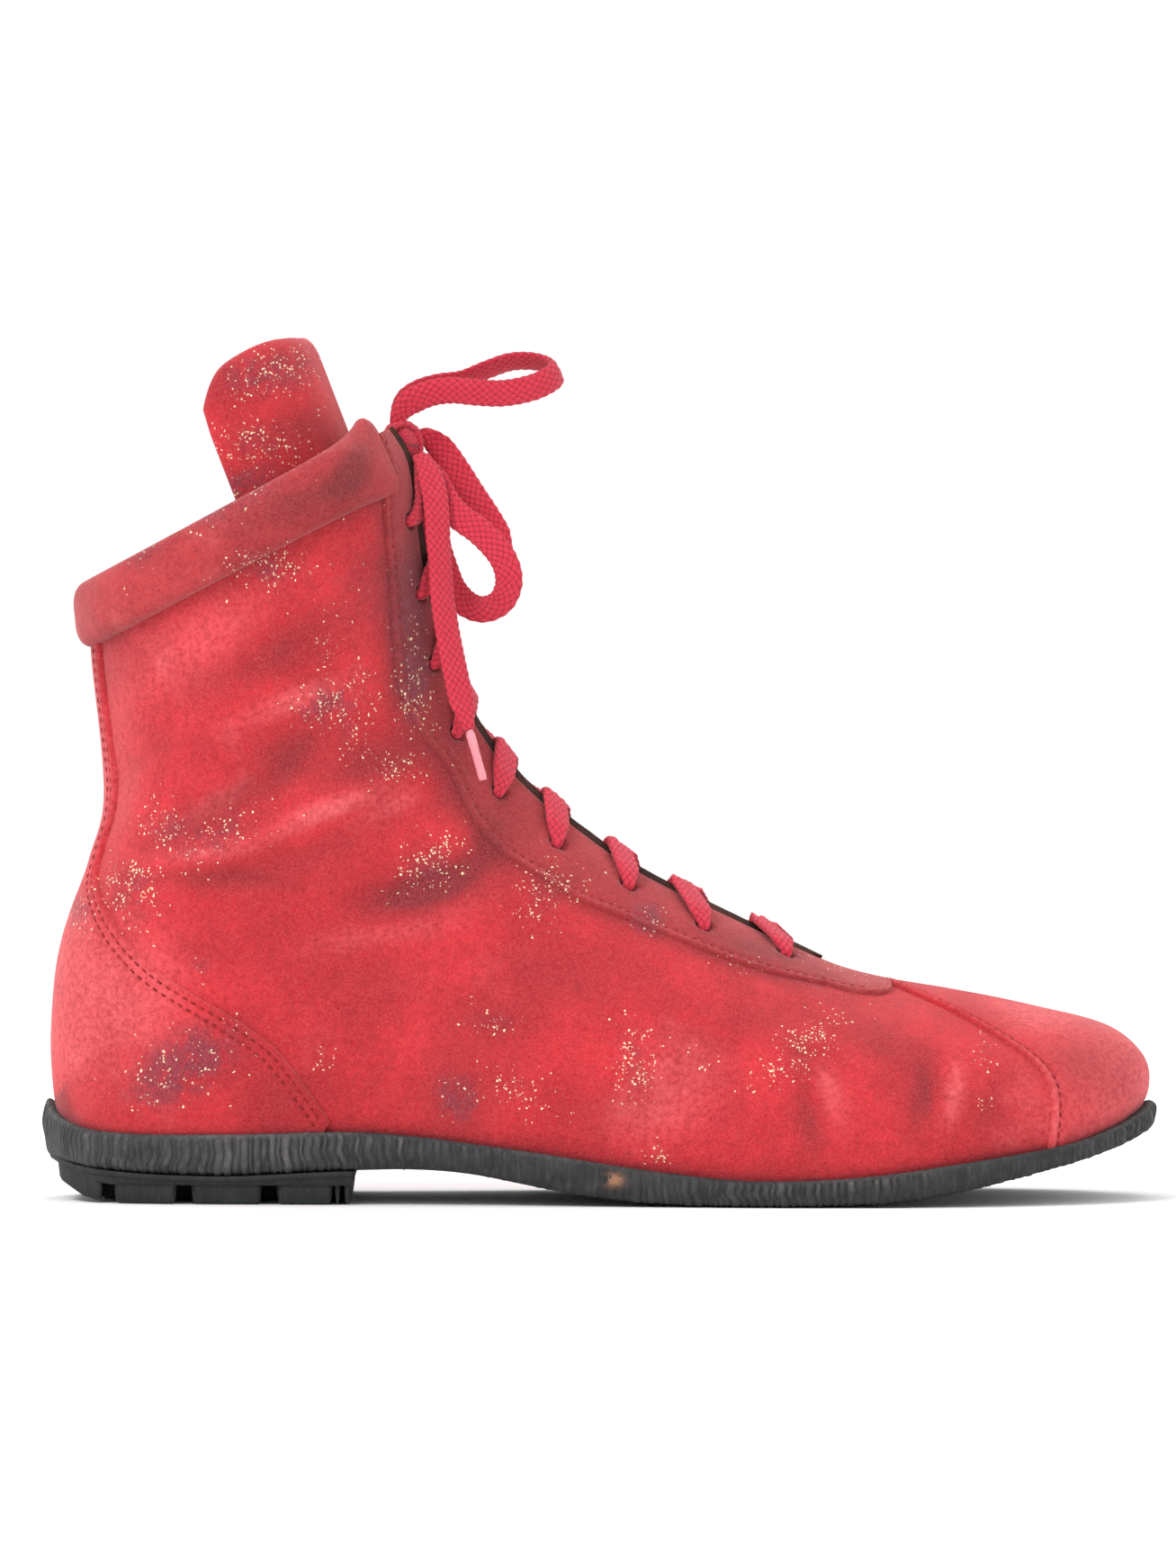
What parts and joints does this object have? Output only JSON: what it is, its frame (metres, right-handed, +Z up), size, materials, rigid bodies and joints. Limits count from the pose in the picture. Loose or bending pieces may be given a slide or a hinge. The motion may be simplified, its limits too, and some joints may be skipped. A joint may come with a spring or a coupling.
{
  "type": "boxing boot",
  "caption": "Mid-high laced boxing boot for the right foot: suede upper, padded collar and tongue, flat lace in a bow, rubber cup sole with a lugged heel.",
  "frame": {"origin": "centre of the bounding box at floor level, under the sole", "axes": "+X from heel to toe, +Y from the lateral side to the medial side, +Z up from the floor"},
  "size_m": [0.3006, 0.1044, 0.233],
  "materials": {
    "suede": "brushed red suede",
    "suede_worn": "worn red suede, darker and browner",
    "lace": "flat braided lace, pinkish red",
    "aglet": "translucent pink plastic",
    "rubber": "matt black rubber, ribbed",
    "facing": "dark brown leather, raw edge",
    "lining": "brown lining leather",
    "foam": "open-cell foam, cream",
    "board": "pressed fibre board",
    "steel": "spring steel strip",
    "stiffener": "resin-stiffened fabric"
  },
  "bodies": {
    "boot": {"outsole": "rubber", "heel_block": "rubber", "heel_wedge": "foam", "shank": "steel", "insole_board": "board", "footbed": "foam", "heel_stiffener": "stiffener", "toe_puff": "stiffener", "toe_cap": "suede", "quarter_lateral": "suede", "quarter_medial": "suede", "counter_patch": "suede", "eyestay": "suede_worn", "facing_lateral": "facing", "facing_medial": "facing", "collar_cover": "suede_worn", "collar_foam": "foam", "lining_vamp": "lining", "lining_lateral": "lining", "lining_medial": "lining", "tongue_face": "suede", "tongue_foam": "foam", "tongue_lining": "lining", "lace_laced": "lace", "lace_knot": "lace", "bow_loop_upper": "lace", "bow_loop_lower": "lace", "lace_end_lateral": "lace", "lace_end_medial": "lace", "aglet_lateral": "aglet", "aglet_medial": "aglet"},
    "tongue_flap": {"tongue_flap_face": "suede", "tongue_flap_foam": "foam", "tongue_flap_lining": "lining"}
  },
  "joints": [
    {"name": "tongue_flap_bend", "type": "hinge", "parent": "boot", "child": "tongue_flap", "pos_m": [-0.066, 0, 0.2], "axis": [0, 1, 0], "range_deg": [-12, 14]}
  ]
}
